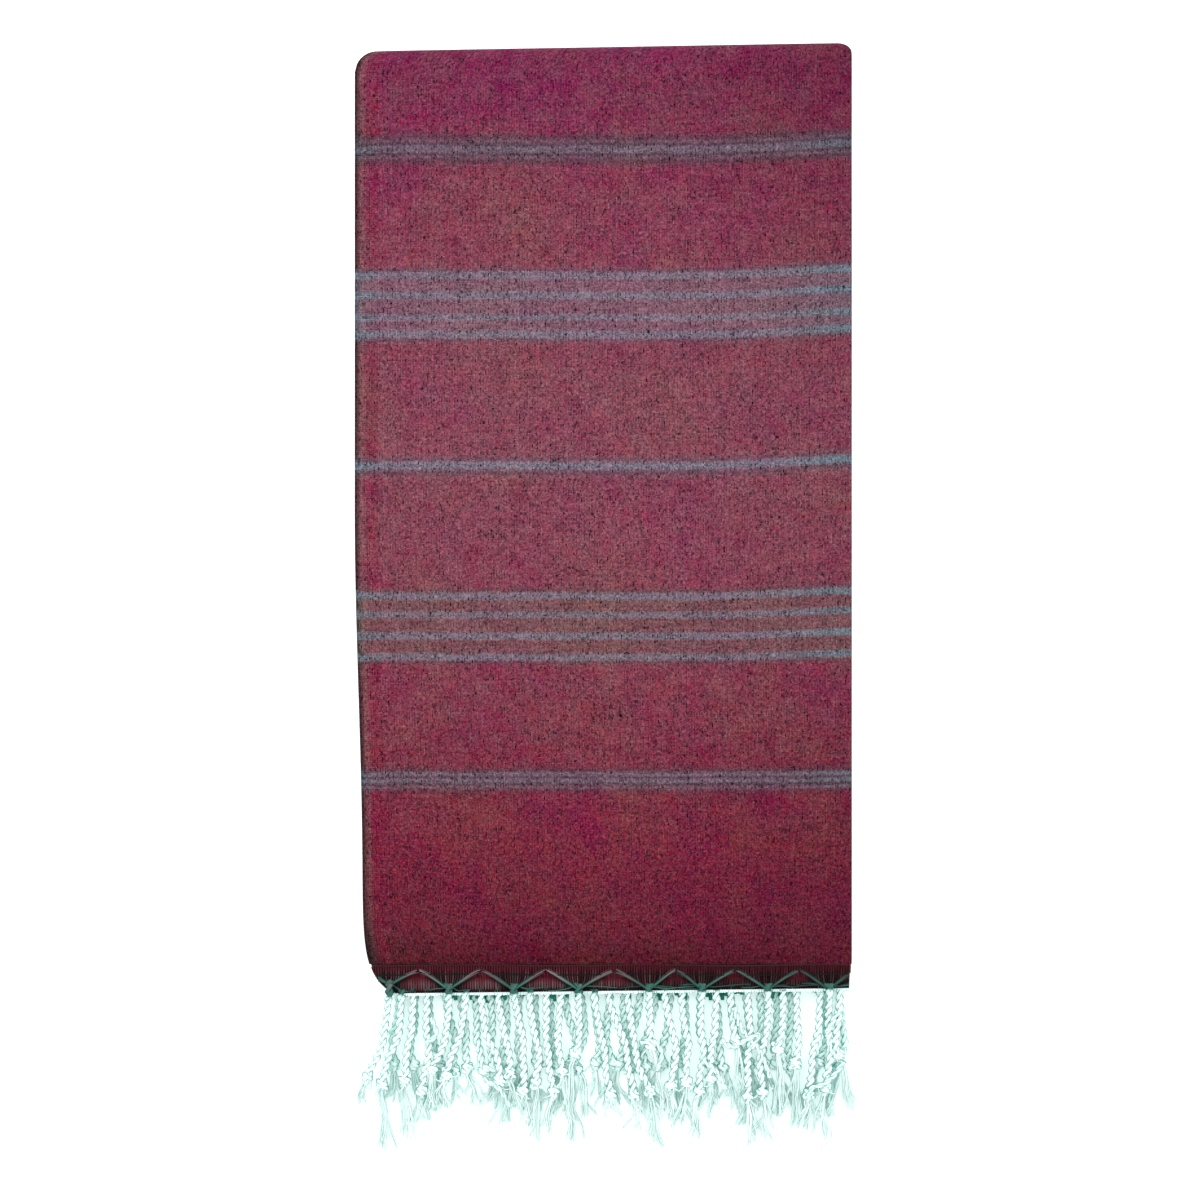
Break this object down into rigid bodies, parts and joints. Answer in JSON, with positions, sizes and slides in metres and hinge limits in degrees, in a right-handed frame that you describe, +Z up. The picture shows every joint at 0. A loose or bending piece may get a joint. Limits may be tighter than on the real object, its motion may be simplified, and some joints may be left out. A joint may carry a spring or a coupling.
{
  "type": "folded fouta towel",
  "caption": "Flat-woven striped cotton towel folded to a flat rectangle, with knotted and twisted fringes along one end.",
  "frame": {"origin": "under the middle of the folded towel, fringes included, on the surface it lies on", "axes": "+Z up from the surface, +Y along the towel from the fringes to the last fold, +X towards the folded long side; the selvedges show on the -X side"},
  "size_m": [0.2496, 0.559, 0.0164],
  "materials": {
    "cloth": "matt flat weave of heathered dark red cotton, with slate blue stripes across",
    "cloth_edges": "edges of the stacked layers, same cotton",
    "fringe": "undyed twisted cotton cord, matt, slightly fuzzy"
  },
  "bodies": {
    "root": {"outer_sheet": "cloth", "inner_layers": "cloth_edges", "fringe_1": "fringe", "fringe_2": "fringe", "fringe_3": "fringe", "fringe_4": "fringe"}
  },
  "joints": []
}
